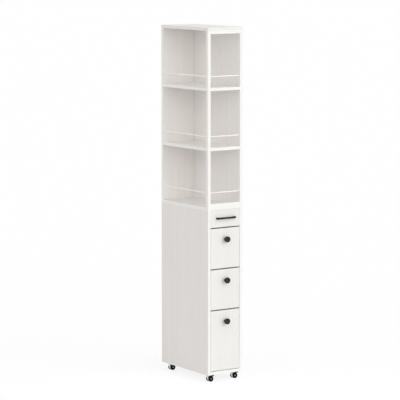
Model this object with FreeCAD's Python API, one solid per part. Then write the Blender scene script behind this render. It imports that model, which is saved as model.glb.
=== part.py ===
import FreeCAD, Part
import math
import os
from FreeCAD import Vector

# Slim rolling storage cart, in millimetres
# +Z is up, the drawer fronts face -Y and the open long side of the shelves faces -X
# The origin lies on the floor, under the middle of the cart with its knobs

# Cabinet
WIDTH = 200.0
DEPTH = 400.0
HEIGHT = 1700.0
BOARD = 15.0
EDGE_EASE = 0.6

# Front frame and guard rails
POST_WIDTH = 15.0
POST_DEPTH = 18.0
CROSSBAR_HEIGHT = 16.0
GUARD_RADIUS = 3.0
GUARD_RISE = 53.0
GUARD_WALL = 1.0
GUARD_PLAY = 0.1

# Thin back of the drawer case
BACK_BOARD = 5.0
BACK_SETBACK = 8.0
TONGUE_WALL = 0.5
TONGUE_PLAY = 0.1

# Dowels between the boards
DOWEL_RADIUS = 3.0
DOWEL_IN_FACE = 9.0
DOWEL_IN_EDGE = 20.0
DOWEL_PLAY = 0.05
DOWEL_END_PLAY = 0.5
DOWEL_EASE = 0.6
DOWEL_INSET = 45.0

# Drawer fronts
BOTTOM_FRONT_HEIGHT = 292.0
MIDDLE_FRONT_HEIGHT = 193.5
UPPER_FRONT_HEIGHT = 193.5
TOP_FRONT_HEIGHT = 83.0
BOTTOM_REVEAL = 2.5
TOP_REVEAL = 0.5
FRONT_GAP = 5.0
SIDE_REVEAL = 1.5
TOP_SIDE_REVEAL = 0.6
FRONT_EASE = 0.8

# Drawer boxes
BOX_BOARD = 10.0
BOX_END_GAP = 32.0
BOX_RISE = 12.0
BOX_DROP = 25.0
BOX_BACK_DROP = 4.0
FLOOR_BOARD = 5.0
FLOOR_RISE = 6.0
FLOOR_TONGUE = 4.0

# Drawer runners
RUNNER_HEIGHT = 27.0
RUNNER_DEPTH = 10.5
RUNNER_WALL = 1.0
RUNNER_PLAY = 0.3
RUNNER_TO_BOX = 0.5
RUNNER_INSET = 2.0
RUNNER_RISE = 23.5
RUNNER_END_PLAY = 5.0

# Round knobs of the three lower drawers
KNOB_REACH = 24.0
KNOB_RADIUS = 14.5
KNOB_FOOT_RADIUS = 7.0
KNOB_FOOT = 2.0
KNOB_NECK_RADIUS = 5.5
KNOB_UNDERCUT = 2.5
KNOB_HEAD = 10.5
KNOB_CROWN = 3.0
KNOB_ROUND = 3.5
KNOB_EASE = 1.0
KNOB_DROP = 53.0

# Bar handle of the top drawer
HANDLE_SIDE_GAP = 31.0
HANDLE_RISE = 3.0
HANDLE_REACH = 16.0
HANDLE_BAR_DEPTH = 6.0
HANDLE_BAR_HEIGHT = 9.0
HANDLE_LEG = 8.0
HANDLE_BEND = 5.0
HANDLE_EASE = 1.2

# Screws of the knobs and the handle
SCREW_RADIUS = 2.0
SCREW_PLAY = 0.15
SCREW_GRIP = 8.0
SCREW_HEAD_RADIUS = 4.2
SCREW_HEAD = 2.4
SCREW_END_PLAY = 0.5

# Caster plate and its screws
CASTER_SIDE_INSET = 29.0
CASTER_END_INSET = 36.0
PLATE_THICKNESS = 1.5
PLATE_CORNER = 3.0
PLATE_MARGIN = 1.5
PLATE_SCREW_GAP = 1.35
WOOD_SCREW_RADIUS = 1.5
WOOD_SCREW_LENGTH = 11.0
WOOD_SCREW_HEAD_RADIUS = 3.0
WOOD_SCREW_HEAD = 1.2
WOOD_SCREW_PLAY = 0.1

# Caster swivel
KINGPIN_RADIUS = 2.5
KINGPIN_HEAD_RADIUS = 4.2
KINGPIN_HEAD = 1.2
CUP_RADIUS = 10.5
CUP_TOP_RADIUS = 9.0
CUP_HEIGHT = 5.0
RACE_GAP = 0.3
RUN_PLAY = 0.05

# Caster fork, measured from the kingpin
TRAIL = 6.0
KINGPIN_CLEARANCE = 0.5
FORK_WALL = 1.2
FORK_HEEL = 9.5
FORK_NOSE = 12.0
FORK_SHOULDER = 3.0
FORK_BEND = 2.0
FORK_HEAD_GAP = 0.5
HOOD_MARGIN = 1.8
HOOD_BOTTOM = 4.0

# The two wheels of a caster, and their axle
WHEEL_RADIUS = 14.0
WHEEL_WIDTH = 5.6
WHEEL_SHOULDER = 1.6
WHEEL_INNER_EASE = 0.5
WHEEL_DISH = 1.2
WHEEL_RIM = 3.5
HUB_RADIUS = 4.0
HUB_GAP = 0.3
HUB_PROUD = 0.6
AXLE_RADIUS = 1.5
AXLE_HEAD_RADIUS = 3.0
AXLE_HEAD = 0.8
AXLE_END_PLAY = 0.1

# Brake lever of the two front casters
BRAKE_AHEAD = 9.5
BRAKE_HUB_GAP = 0.52
BRAKE_PIN_RADIUS = 1.1
BRAKE_HUB_RADIUS = 2.4
BRAKE_EAR_RADIUS = 3.4
BRAKE_CAM_RADIUS = 1.0
BRAKE_CAM_GAP = 0.2
BRAKE_TRAVEL_DEGREES = 20.0
BRAKE_SLOPE_DEGREES = 20.0
BRAKE_ARM_THICKNESS = 3.4
BRAKE_PEDAL_GAP = 1.1
BRAKE_PEDAL_LENGTH = 6.5
BRAKE_PEDAL_WIDTH = 18.0
BRAKE_PEDAL_CORNER = 2.5
BRAKE_SIDE_PLAY = 0.3
BRAKE_EAR_GAP = 1.3
BRAKE_EDGE = 0.4

# Cutting tools reach this far past what they cut
OVERRUN = 1.0

X = Vector(1, 0, 0)
Y = Vector(0, 1, 0)
Z = Vector(0, 0, 1)

# Levels and places inside a caster, measured from the floor under its kingpin
kingpin_head_bottom = 2 * WHEEL_RADIUS + KINGPIN_CLEARANCE
bridge_bottom = kingpin_head_bottom + KINGPIN_HEAD + RACE_GAP
bridge_top = bridge_bottom + FORK_WALL
cup_top = bridge_top + CUP_HEIGHT
plate_bottom = cup_top + RACE_GAP
caster_height = plate_bottom + PLATE_THICKNESS
cheek_inner = KINGPIN_HEAD_RADIUS + FORK_HEAD_GAP
cheek_outer = cheek_inner + FORK_WALL
wheel_inner = cheek_outer + HUB_GAP + HUB_PROUD
wheel_outer = wheel_inner + WHEEL_WIDTH
hood_radius = WHEEL_RADIUS - HOOD_MARGIN
brake_half = wheel_outer - BRAKE_EDGE
axle_place = Vector(TRAIL, 0, WHEEL_RADIUS)
brake_reach = WHEEL_RADIUS + BRAKE_HUB_RADIUS + BRAKE_HUB_GAP
brake_rise = math.sqrt(brake_reach**2 - BRAKE_AHEAD**2)
brake_place = axle_place + Vector(BRAKE_AHEAD, 0, brake_rise)
pedal_start = BRAKE_EAR_RADIUS + BRAKE_PEDAL_GAP
pedal_end = pedal_start + BRAKE_PEDAL_LENGTH

# The plate's screws stand clear of the swivel cup, and the plate holds their heads
plate_screw_offset = (CUP_RADIUS + PLATE_SCREW_GAP + WOOD_SCREW_HEAD_RADIUS) / math.sqrt(2)
plate_half = plate_screw_offset + WOOD_SCREW_HEAD_RADIUS + PLATE_MARGIN

# Planes of the cabinet
left_x = -WIDTH / 2
right_x = WIDTH / 2
inner_left_x = left_x + BOARD
inner_right_x = right_x - BOARD
front_y = (KNOB_REACH - DEPTH) / 2
back_y = front_y + DEPTH
inner_back_y = back_y - BOARD
post_back_y = front_y + POST_DEPTH
post_right_x = left_x + POST_WIDTH

# Levels of the cabinet
base_bottom = caster_height
base_top = base_bottom + BOARD
bottom_front = base_top + BOTTOM_REVEAL
middle_front = bottom_front + BOTTOM_FRONT_HEIGHT + FRONT_GAP
upper_front = middle_front + MIDDLE_FRONT_HEIGHT + FRONT_GAP
top_front = upper_front + UPPER_FRONT_HEIGHT + FRONT_GAP
counter_bottom = top_front + TOP_FRONT_HEIGHT + TOP_REVEAL
counter_top = counter_bottom + BOARD
lid_bottom = HEIGHT - BOARD
bay_height = (lid_bottom - counter_top - 2 * BOARD) / 3
lower_shelf = counter_top + bay_height
upper_shelf = lower_shelf + BOARD + bay_height

# Drawer boxes and pulls, which follow the opening between the side panels
runner_x = inner_right_x - RUNNER_DEPTH
box_outer_x = runner_x - RUNNER_TO_BOX - RUNNER_WALL
box_front_y = front_y + BOARD
box_back_y = back_y - BACK_SETBACK - BACK_BOARD - BOX_END_GAP
handle_half = inner_right_x - HANDLE_SIDE_GAP
handle_inner = handle_half - HANDLE_LEG
handle_screws = (HANDLE_LEG / 2 - handle_half, handle_half - HANDLE_LEG / 2)
back_tongue = BOARD - DOWEL_IN_FACE - DOWEL_END_PLAY - TONGUE_WALL

guard_levels = [
    counter_top + CROSSBAR_HEIGHT + GUARD_RISE,
    lower_shelf + BOARD + GUARD_RISE,
    upper_shelf + BOARD + GUARD_RISE,
]

drawer_levels = {
    "top": (top_front, top_front + TOP_FRONT_HEIGHT, TOP_SIDE_REVEAL),
    "upper": (upper_front, upper_front + UPPER_FRONT_HEIGHT, SIDE_REVEAL),
    "middle": (middle_front, middle_front + MIDDLE_FRONT_HEIGHT, SIDE_REVEAL),
    "bottom": (bottom_front, bottom_front + BOTTOM_FRONT_HEIGHT, SIDE_REVEAL),
}


def box(x_span, y_span, z_span):
    """A block from its spans along X, Y and Z."""
    low = Vector(x_span[0], y_span[0], z_span[0])
    size = (x_span[1] - x_span[0], y_span[1] - y_span[0], z_span[1] - z_span[0])
    return Part.makeBox(*size, low)


def rod(radius, start, direction, length):
    """A round bar that starts at a point and runs along a unit direction."""
    return Part.makeCylinder(radius, length, start, direction)


def eased(block, ease=EDGE_EASE):
    """The block with every edge broken by a small chamfer."""
    return block.makeChamfer(ease, block.Edges)


def rounded_face(points, place):
    """A flat face whose outline has a rounded corner at each point (u, v, radius)."""
    count = len(points)
    ends = []
    for n, (u, v, radius) in enumerate(points):
        here = Vector(u, v, 0)
        before = Vector(*points[n - 1][:2], 0)
        after = Vector(*points[(n + 1) % count][:2], 0)
        to_before = (before - here).normalize()
        to_after = (after - here).normalize()
        half = to_before.getAngle(to_after) / 2
        setback = radius / math.tan(half)
        to_middle = (to_before + to_after).normalize()
        middle = here + to_middle * (radius / math.sin(half) - radius)
        ends.append((here + to_before * setback, middle, here + to_after * setback))
    edges = []
    for n, (start, middle, end) in enumerate(ends):
        if points[n][2] > 0:
            edges.append(Part.Arc(place(start), place(middle), place(end)).toShape())
        edges.append(Part.makeLine(place(end), place(ends[(n + 1) % count][0])))
    return Part.Face(Part.Wire(edges))


def side_view(point, y):
    """A point (u, v) of a side view, seen along Y, at a given depth."""
    return Vector(point.x, y, point.y)


def save(name, *shapes):
    """Writes one node, which is one solid or a group of separate ones."""
    solids = [solid for shape in shapes for solid in shape.Solids]
    node = solids[0] if len(solids) == 1 else Part.makeCompound(solids)
    node.exportStep("parts/" + name + ".step")


def spread(low, high, count):
    """Evenly spaced places between two ends, both ends included."""
    return [low + (high - low) * n / (count - 1) for n in range(count)]


def dowel_places():
    """Each dowel as a point on the joint and the direction into the board drilled in its edge."""
    mid = BOARD / 2
    post_x = left_x + POST_WIDTH / 2
    post_y = front_y + POST_DEPTH / 2
    long_run = spread(front_y + DOWEL_INSET, inner_back_y - DOWEL_INSET, 3)
    base_run = spread(front_y + CASTER_END_INSET, back_y - CASTER_END_INSET, 3)
    short_run = spread(left_x + DOWEL_INSET, inner_right_x - DOWEL_INSET, 2)
    places = []
    for y in long_run:
        places.append((Vector(right_x - mid, y, lid_bottom), -Z))
        places.append((Vector(left_x + mid, y, counter_bottom), -Z))
        for level in (counter_bottom, lower_shelf, upper_shelf):
            places.append((Vector(inner_right_x, y, level + mid), -X))
    for y in base_run:
        places.append((Vector(inner_left_x, y, base_bottom + mid), X))
        places.append((Vector(inner_right_x, y, base_bottom + mid), -X))
    for x in short_run:
        places.append((Vector(x, back_y - mid, lid_bottom), -Z))
        places.append((Vector(x, back_y - mid, counter_top), Z))
        for level in (lower_shelf, upper_shelf):
            places.append((Vector(x, inner_back_y, level + mid), -Y))
    places.append((Vector(post_x, post_y, lid_bottom), -Z))
    places.append((Vector(post_x, post_y, counter_top), Z))
    for level in (lower_shelf, upper_shelf):
        places.append((Vector(post_right_x, post_y, level + mid), X))
    for level in (lid_bottom - CROSSBAR_HEIGHT / 2, counter_top + CROSSBAR_HEIGHT / 2):
        places.append((Vector(inner_right_x, post_y, level), -X))
    return places


def dowel(place, direction):
    start = place - direction * DOWEL_IN_FACE
    pin = rod(DOWEL_RADIUS, start, direction, DOWEL_IN_FACE + DOWEL_IN_EDGE)
    return pin.makeChamfer(DOWEL_EASE, [edge for edge in pin.Edges if edge.Closed])


def dowel_hole(place, direction):
    start = place - direction * (DOWEL_IN_FACE + DOWEL_END_PLAY)
    length = DOWEL_IN_FACE + DOWEL_IN_EDGE + 2 * DOWEL_END_PLAY
    return rod(DOWEL_RADIUS + DOWEL_PLAY, start, direction, length)


def guard_seat():
    """How deep a guard rail's end goes into the post, clear of the other rail's end."""
    return POST_DEPTH / 2 - GUARD_RADIUS - GUARD_WALL


def side_guard(level, play=0):
    start = Vector(left_x + POST_WIDTH / 2, post_back_y - guard_seat() - play, level)
    length = inner_back_y - post_back_y + 2 * (guard_seat() + play)
    return rod(GUARD_RADIUS + play, start, Y, length)


def front_guard(level, play=0):
    start = Vector(post_right_x - guard_seat() - play, front_y + POST_DEPTH / 2, level)
    length = inner_right_x - post_right_x + 2 * (guard_seat() + play)
    return rod(GUARD_RADIUS + play, start, X, length)


def lower_back(play=0):
    low_y = back_y - BACK_SETBACK - BACK_BOARD - play
    reach = back_tongue + play
    return box(
        (inner_left_x - reach, inner_right_x + reach),
        (low_y, low_y + BACK_BOARD + 2 * play),
        (base_top - reach, counter_bottom + reach),
    )


def caster_places():
    """The kingpin of each caster, by name, on the floor under the cabinet."""
    near_y = front_y + CASTER_END_INSET
    far_y = back_y - CASTER_END_INSET
    return {
        "front_left": Vector(left_x + CASTER_SIDE_INSET, near_y, 0),
        "front_right": Vector(right_x - CASTER_SIDE_INSET, near_y, 0),
        "rear_left": Vector(left_x + CASTER_SIDE_INSET, far_y, 0),
        "rear_right": Vector(right_x - CASTER_SIDE_INSET, far_y, 0),
    }


def square_of_screws(place):
    """The four screw places of a caster's plate round a point."""
    offsets = (-plate_screw_offset, plate_screw_offset)
    return [place + Vector(dx, dy, 0) for dx in offsets for dy in offsets]


def plate_screw_places():
    return [
        corner + Z * base_bottom
        for place in caster_places().values()
        for corner in square_of_screws(place)
    ]


def make_case():
    """The boards of the case, the front post and the two crossbars, drilled for what joins them."""
    deep = (front_y, back_y)
    boards = {
        "lid": eased(box((left_x, right_x), deep, (lid_bottom, HEIGHT))),
        "right_side_panel": eased(box((inner_right_x, right_x), deep, (base_bottom, lid_bottom))),
        "left_side_panel": eased(box((left_x, inner_left_x), deep, (base_bottom, counter_bottom))),
        "base_board": eased(box((inner_left_x, inner_right_x), deep, (base_bottom, base_top))),
        "counter_board": eased(box((left_x, inner_right_x), deep, (counter_bottom, counter_top))),
        "upper_back_panel": eased(
            box((left_x, inner_right_x), (inner_back_y, back_y), (counter_top, lid_bottom))
        ),
    }
    post_span = ((left_x, post_right_x), (front_y, post_back_y))
    notch = box(*post_span, (base_bottom, HEIGHT))
    for name, level in (("lower_shelf", lower_shelf), ("upper_shelf", upper_shelf)):
        shelf = eased(box((left_x, inner_right_x), (front_y, inner_back_y), (level, level + BOARD)))
        boards[name] = shelf.cut(notch)
    boards["front_post"] = eased(box(*post_span, (counter_top, lid_bottom)))
    crossbar_span = ((post_right_x, inner_right_x), (front_y, post_back_y))
    boards["top_crossbar"] = eased(box(*crossbar_span, (lid_bottom - CROSSBAR_HEIGHT, lid_bottom)))
    boards["counter_crossbar"] = eased(
        box(*crossbar_span, (counter_top, counter_top + CROSSBAR_HEIGHT))
    )
    tools = [dowel_hole(*place) for place in dowel_places()]
    tools += [side_guard(level, GUARD_PLAY) for level in guard_levels]
    tools += [front_guard(level, GUARD_PLAY) for level in guard_levels]
    tools += [
        rod(WOOD_SCREW_RADIUS + WOOD_SCREW_PLAY, place, Z, WOOD_SCREW_LENGTH)
        for place in plate_screw_places()
    ]
    tools.append(lower_back(TONGUE_PLAY))
    for name, board in boards.items():
        save(name, board.cut(tools))
    save("lower_back_panel", lower_back())
    save("dowels", *[dowel(*place) for place in dowel_places()])
    save("side_guard_rails", *[side_guard(level) for level in guard_levels])
    save("front_guard_rails", *[front_guard(level) for level in guard_levels])


def runner_pair(make_right):
    """The right-hand channel and its mirror image."""
    right = make_right()
    return right, right.mirror(Vector(0, 0, 0), X)


def case_runner(level):
    """Channel on the case wall, open towards the drawer."""
    length_span = (box_front_y + RUNNER_INSET, box_back_y + RUNNER_INSET)
    x_span = (runner_x, inner_right_x)
    half = RUNNER_HEIGHT / 2
    channel = box(x_span, length_span, (level - half, level + half))
    hollow = box(
        (x_span[0] - OVERRUN, x_span[1] - RUNNER_WALL),
        (length_span[0] - OVERRUN, length_span[1] + OVERRUN),
        (level - half + RUNNER_WALL, level + half - RUNNER_WALL),
    )
    return channel.cut(hollow)


def drawer_runner(level):
    """Channel on the drawer's side, nested in the one on the case wall."""
    x_span = (box_outer_x, inner_right_x - RUNNER_WALL - RUNNER_TO_BOX)
    length_span = (box_front_y, box_back_y - RUNNER_END_PLAY)
    half = RUNNER_HEIGHT / 2 - RUNNER_WALL - RUNNER_PLAY
    channel = box(x_span, length_span, (level - half, level + half))
    hollow = box(
        (x_span[0] + RUNNER_WALL, x_span[1] + OVERRUN),
        (length_span[0] - OVERRUN, length_span[1] + OVERRUN),
        (level - half + RUNNER_WALL, level + half - RUNNER_WALL),
    )
    return channel.cut(hollow)


def knob():
    """Turned knob on the Y axis, its foot at the origin and its domed head towards -Y."""
    neck_end = KNOB_REACH - KNOB_HEAD - KNOB_UNDERCUT
    rim_end = KNOB_REACH - KNOB_CROWN
    lines = [
        (0, 0),
        (KNOB_FOOT_RADIUS, 0),
        (KNOB_FOOT_RADIUS, KNOB_FOOT),
        (KNOB_NECK_RADIUS, KNOB_FOOT + KNOB_FOOT),
        (KNOB_NECK_RADIUS, neck_end),
        (KNOB_RADIUS, neck_end + KNOB_UNDERCUT),
        (KNOB_RADIUS, rim_end),
    ]
    points = [Vector(radius, -depth, 0) for radius, depth in lines]
    dome_radius = (KNOB_RADIUS**2 + KNOB_CROWN**2) / (2 * KNOB_CROWN)
    half_angle = math.asin(KNOB_RADIUS / dome_radius) / 2
    dome_centre_y = dome_radius - KNOB_REACH
    on_dome = Vector(
        dome_radius * math.sin(half_angle), dome_centre_y - dome_radius * math.cos(half_angle), 0
    )
    tip = Vector(0, -KNOB_REACH, 0)
    edges = [Part.makeLine(a, b) for a, b in zip(points, points[1:])]
    edges.append(Part.Arc(points[-1], on_dome, tip).toShape())
    edges.append(Part.makeLine(tip, points[0]))
    turned = Part.Face(Part.Wire(edges)).revolve(Vector(0, 0, 0), Y, 360)
    for depth, radius in ((rim_end, KNOB_ROUND), (neck_end + KNOB_UNDERCUT, KNOB_EASE)):
        rim = [edge for edge in turned.Edges if is_rim(edge, KNOB_RADIUS, -depth)]
        turned = turned.makeFillet(radius, rim)
    return turned.cut(grip_hole())


def is_rim(edge, radius, y):
    """Whether an edge is the full circle of a radius round the Y axis at a given y."""
    if edge.Degenerated or not isinstance(edge.Curve, Part.Circle):
        return False
    return math.isclose(edge.Curve.Radius, radius) and math.isclose(edge.Curve.Center.y, y)


def handle():
    """Bar handle along X with a leg at each end, its feet on the plane y = 0."""
    inside_bend = HANDLE_BEND - HANDLE_EASE
    outline = [
        (-handle_half, 0, 0),
        (-handle_half, -HANDLE_REACH, HANDLE_BEND),
        (handle_half, -HANDLE_REACH, HANDLE_BEND),
        (handle_half, 0, 0),
        (handle_inner, 0, 0),
        (handle_inner, HANDLE_BAR_DEPTH - HANDLE_REACH, inside_bend),
        (-handle_inner, HANDLE_BAR_DEPTH - HANDLE_REACH, inside_bend),
        (-handle_inner, 0, 0),
    ]
    low = -HANDLE_BAR_HEIGHT / 2
    face = rounded_face(outline, lambda point: Vector(point.x, point.y, low))
    bar = face.extrude(Z * HANDLE_BAR_HEIGHT)
    rims = [edge for edge in bar.Edges if abs(edge.BoundBox.ZLength) < OVERRUN / 2]
    rims = [edge for edge in rims if edge.BoundBox.YMin < -HANDLE_EASE]
    bar = bar.makeFillet(HANDLE_EASE, rims)
    for x in handle_screws:
        bar = bar.cut(grip_hole().translated(Vector(x, 0, 0)))
    return bar


def grip_hole():
    return rod(SCREW_RADIUS + RUN_PLAY, Vector(0, 0, 0), -Y, SCREW_GRIP + SCREW_END_PLAY)


def pull_screw():
    """Machine screw from inside the drawer, with its grip in a knob or leg on the plane y = 0."""
    shank = rod(SCREW_RADIUS, Vector(0, -SCREW_GRIP, 0), Y, SCREW_GRIP + BOARD)
    head = rod(SCREW_HEAD_RADIUS, Vector(0, BOARD, 0), Y, SCREW_HEAD)
    return shank.fuse(head).removeSplitter()


def make_drawer(name, bottom, top, reveal):
    """One drawer: front, box, floor, pull with its screws, and both halves of its runners."""
    inner = box_outer_x - BOX_BOARD
    box_bottom = bottom + BOX_RISE
    box_top = top - BOX_DROP
    front = box(
        (inner_left_x + reveal, inner_right_x - reveal), (front_y, box_front_y), (bottom, top)
    )
    front = eased(front, FRONT_EASE)
    right = box((inner, box_outer_x), (box_front_y, box_back_y), (box_bottom, box_top))
    left = right.mirror(Vector(0, 0, 0), X)
    back = box(
        (-inner, inner),
        (box_back_y - BOX_BOARD, box_back_y),
        (box_bottom, box_top - BOX_BACK_DROP),
    )

    def floor(play=0):
        reach = FLOOR_TONGUE + play
        low_z = box_bottom + FLOOR_RISE - play
        return box(
            (-inner - reach, inner + reach),
            (box_front_y - reach, box_back_y - BOX_BOARD + reach),
            (low_z, low_z + FLOOR_BOARD + 2 * play),
        )

    if name == "top":
        pull_z = (bottom + top) / 2 + HANDLE_RISE
        pull_xs = handle_screws
        pull = handle().translated(Vector(0, front_y, pull_z))
        pull_name = "top_drawer_handle"
    else:
        pull_z = top - KNOB_DROP
        pull_xs = (0,)
        pull = knob().translated(Vector(0, front_y, pull_z))
        pull_name = name + "_drawer_knob"
    places = [Vector(x, front_y, pull_z) for x in pull_xs]
    for place in places:
        front = front.cut(rod(SCREW_RADIUS + SCREW_PLAY, place - Y * OVERRUN, Y, BOARD + 2 * OVERRUN))
    groove = floor(TONGUE_PLAY)
    save(name + "_drawer_front", front.cut(groove))
    save(name + "_drawer_sides", left.cut(groove), right.cut(groove))
    save(name + "_drawer_back", back.cut(groove))
    save(name + "_drawer_floor", floor())
    save(pull_name, pull, *[pull_screw().translated(place) for place in places])
    level = box_bottom + RUNNER_RISE
    save(name + "_drawer_runners", *runner_pair(lambda: drawer_runner(level)))
    save(name + "_case_runners", *runner_pair(lambda: case_runner(level)))


def across(radius, place, half_length):
    """A round bar along Y, centred on the caster's middle plane."""
    return rod(radius, place - Y * half_length, Y, 2 * half_length)


def caster_plate():
    outline = [
        (-plate_half, -plate_half, PLATE_CORNER),
        (plate_half, -plate_half, PLATE_CORNER),
        (plate_half, plate_half, PLATE_CORNER),
        (-plate_half, plate_half, PLATE_CORNER),
    ]
    face = rounded_face(outline, lambda point: Vector(point.x, point.y, plate_bottom))
    plate = face.extrude(Z * PLATE_THICKNESS)
    start_z = plate_bottom - OVERRUN
    length = PLATE_THICKNESS + 2 * OVERRUN
    plate = plate.cut(rod(KINGPIN_RADIUS + RUN_PLAY, Vector(0, 0, start_z), Z, length))
    for corner in square_of_screws(Z * start_z):
        plate = plate.cut(rod(WOOD_SCREW_RADIUS + WOOD_SCREW_PLAY, corner, Z, length))
    return plate


def wood_screw():
    """Pan-head screw up into the base, its head under the plate and its place on the base's face."""
    head_z = -PLATE_THICKNESS - WOOD_SCREW_HEAD
    head = rod(WOOD_SCREW_HEAD_RADIUS, Z * head_z, Z, WOOD_SCREW_HEAD)
    shank = rod(WOOD_SCREW_RADIUS, Z * head_z, Z, WOOD_SCREW_LENGTH - head_z - SCREW_END_PLAY)
    return head.fuse(shank).removeSplitter()


def kingpin():
    start = Z * kingpin_head_bottom
    head = rod(KINGPIN_HEAD_RADIUS, start, Z, KINGPIN_HEAD)
    shank = rod(KINGPIN_RADIUS, start, Z, caster_height - kingpin_head_bottom)
    return head.fuse(shank).removeSplitter()


def fork(has_brake):
    """Body between the wheels: a hollow hood, a bridge over it and the swivel cup."""
    nose = FORK_NOSE
    nose_bottom = bridge_top - FORK_SHOULDER
    if has_brake:
        nose = brake_place.x + BRAKE_EAR_RADIUS
        nose_bottom = brake_place.z - BRAKE_EAR_RADIUS
    outline = [
        (-FORK_HEEL, bridge_top, FORK_BEND),
        (-FORK_HEEL, bridge_top - FORK_SHOULDER, FORK_BEND),
        (TRAIL - hood_radius, WHEEL_RADIUS, 0),
        (TRAIL + hood_radius, WHEEL_RADIUS, 0),
        (nose, nose_bottom, FORK_BEND),
        (nose, bridge_top, FORK_BEND),
    ]
    face = rounded_face(outline, lambda point: side_view(point, -cheek_outer))
    body = face.extrude(Y * (2 * cheek_outer))
    body = body.fuse(across(hood_radius, axle_place, cheek_outer)).removeSplitter()
    hollow_radius = hood_radius - FORK_WALL
    far = TRAIL + hood_radius + BRAKE_EAR_RADIUS + OVERRUN
    hollow = [
        (-cheek_inner, bridge_bottom, 0),
        (TRAIL - hollow_radius, WHEEL_RADIUS, 0),
        (far, WHEEL_RADIUS, 0),
        (far, bridge_bottom, 0),
    ]
    face = rounded_face(hollow, lambda point: side_view(point, -cheek_inner))
    body = body.cut(face.extrude(Y * (2 * cheek_inner)))
    body = body.cut(across(hollow_radius, axle_place, cheek_inner))
    wide = (-cheek_outer - OVERRUN, cheek_outer + OVERRUN)
    body = body.cut(box((TRAIL - WHEEL_RADIUS, TRAIL + WHEEL_RADIUS), wide, (0, HOOD_BOTTOM)))
    if has_brake:
        body = body.cut(across(BRAKE_PIN_RADIUS + RUN_PLAY, brake_place, cheek_outer + OVERRUN))
    cup = Part.makeCone(CUP_RADIUS, CUP_TOP_RADIUS, CUP_HEIGHT, Z * bridge_top, Z)
    body = body.fuse(cup).removeSplitter()
    body = body.cut(rod(KINGPIN_RADIUS + RUN_PLAY, Z * (bridge_bottom - OVERRUN), Z, caster_height))
    return body.cut(across(AXLE_RADIUS + RUN_PLAY, axle_place, cheek_outer + OVERRUN))


def riveted_pin(radius, head_radius, place, reach):
    """A pin along Y with a flat head at each end, so far from the caster's middle plane."""
    pin = across(radius, place, reach + AXLE_HEAD)
    for side in (-1, 1):
        start = place + Y * (side * reach)
        pin = pin.fuse(rod(head_radius, start, Y * side, AXLE_HEAD))
    return pin.removeSplitter()


def wheel_pair():
    """Two dished wheels with rounded shoulders, whose hubs run on the fork's cheeks."""
    hub = wheel_inner - HUB_PROUD
    dish = wheel_outer - WHEEL_DISH
    bore = AXLE_RADIUS + RUN_PLAY
    web = WHEEL_RADIUS - WHEEL_RIM
    rows = [
        (bore, hub, 0),
        (HUB_RADIUS, hub, 0),
        (HUB_RADIUS, wheel_inner, 0),
        (WHEEL_RADIUS, wheel_inner, WHEEL_INNER_EASE),
        (WHEEL_RADIUS, wheel_outer, WHEEL_SHOULDER),
        (web, wheel_outer, 0),
        (web, dish, 0),
        (HUB_RADIUS, dish, 0),
        (HUB_RADIUS, wheel_outer, 0),
        (bore, wheel_outer, 0),
    ]
    face = rounded_face(rows, lambda point: Vector(point.x, point.y, 0))
    wheel = face.revolve(Vector(0, 0, 0), Y, 360).translated(axle_place)
    return wheel, wheel.mirror(Vector(0, 0, 0), Y)


def brake_lever():
    """Foot lever on its own pin: a hub and a cam over each wheel, and one pedal."""
    slope = math.radians(BRAKE_SLOPE_DEGREES)
    travel = math.radians(BRAKE_TRAVEL_DEGREES)
    lever = across(BRAKE_HUB_RADIUS, brake_place, brake_half)
    to_wheel = axle_place - brake_place
    contact = math.atan2(to_wheel.z, to_wheel.x) + travel
    cam_reach = to_wheel.Length - WHEEL_RADIUS - BRAKE_CAM_GAP - BRAKE_CAM_RADIUS
    cam_place = brake_place + Vector(math.cos(contact), 0, math.sin(contact)) * cam_reach
    lever = lever.fuse(across(BRAKE_CAM_RADIUS, cam_place, brake_half))
    half_thick = BRAKE_ARM_THICKNESS / 2
    tip = BRAKE_PEDAL_WIDTH / 2
    outline = [
        (0, -brake_half, 0),
        (pedal_start, -brake_half, BRAKE_PEDAL_CORNER),
        (pedal_end, -tip, BRAKE_PEDAL_CORNER),
        (pedal_end, tip, BRAKE_PEDAL_CORNER),
        (pedal_start, brake_half, BRAKE_PEDAL_CORNER),
        (0, brake_half, 0),
    ]
    pedal = rounded_face(outline, lambda point: Vector(point.x, point.y, -half_thick))
    pedal = pedal.extrude(Z * BRAKE_ARM_THICKNESS)
    pedal.rotate(Vector(0, 0, 0), Y, -math.degrees(slope))
    lever = lever.fuse(pedal.translated(brake_place)).removeSplitter()
    ear_room = across(BRAKE_EAR_RADIUS + BRAKE_EAR_GAP, brake_place, cheek_outer + BRAKE_SIDE_PLAY)
    lever = lever.cut(ear_room)
    return lever.cut(across(BRAKE_PIN_RADIUS + RUN_PLAY, brake_place, brake_half + OVERRUN))


def make_casters():
    """Four swivel casters, the front two with a foot brake."""
    places = caster_places()
    save("caster_plates", *[caster_plate().translated(place) for place in places.values()])
    save("caster_kingpins", *[kingpin().translated(place) for place in places.values()])
    save("caster_screws", *[wood_screw().translated(place) for place in plate_screw_places()])
    for name, place in places.items():
        has_brake = name.startswith("front")
        save("caster_fork_" + name, fork(has_brake).translated(place))
        save("caster_wheel_" + name, *[wheel.translated(place) for wheel in wheel_pair()])
        pins = [riveted_pin(AXLE_RADIUS, AXLE_HEAD_RADIUS, axle_place, wheel_outer + AXLE_END_PLAY)]
        if has_brake:
            reach = brake_half + AXLE_END_PLAY
            pins.append(riveted_pin(BRAKE_PIN_RADIUS, AXLE_RADIUS + RUN_PLAY, brake_place, reach))
            save("brake_lever_" + name, brake_lever().translated(place))
        save("caster_axle_" + name, *[pin.translated(place) for pin in pins])


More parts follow.
